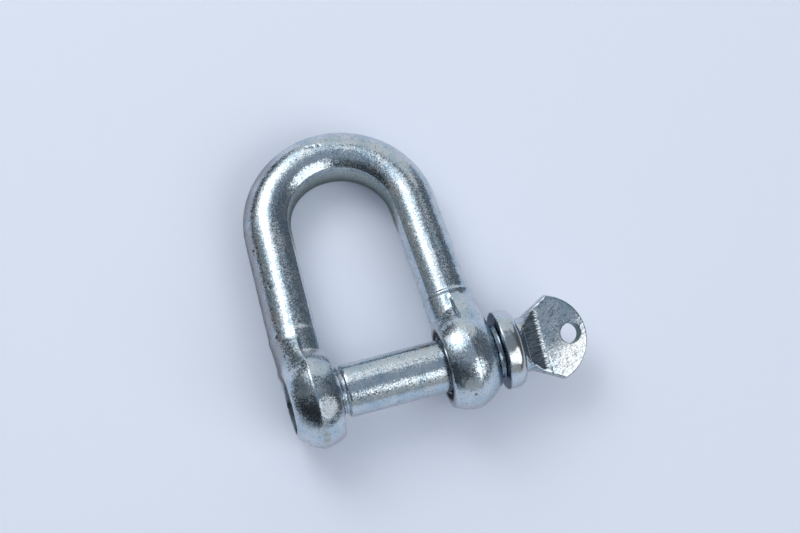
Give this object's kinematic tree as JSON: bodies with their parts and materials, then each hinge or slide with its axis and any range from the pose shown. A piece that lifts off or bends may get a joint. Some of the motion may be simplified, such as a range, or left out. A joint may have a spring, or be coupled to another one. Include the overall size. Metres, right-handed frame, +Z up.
{
  "type": "screw pin dee shackle",
  "caption": "Forged dee shackle that joins chain, closed by a screw pin with a collar and a flattened, drilled tab.",
  "frame": {"origin": "middle of the pin's axis, halfway between the inner faces of the eyes", "axes": "+X along the pin towards its tab, +Y from the pin towards the crown, +Z up from the ground that the shackle lies on"},
  "size_m": [0.0957, 0.1001, 0.031],
  "materials": {
    "bow_zinc": "zinc plated over a blasted forging",
    "pin_zinc": "zinc plated over a blasted forging"
  },
  "bodies": {
    "bow": {"bow": "bow_zinc"},
    "pin": {"pin": "pin_zinc"}
  },
  "joints": [
    {"name": "pin_withdraw", "type": "slide", "parent": "bow", "child": "pin", "axis": [1, 0, 0], "range_m": [0, 0.07]}
  ]
}
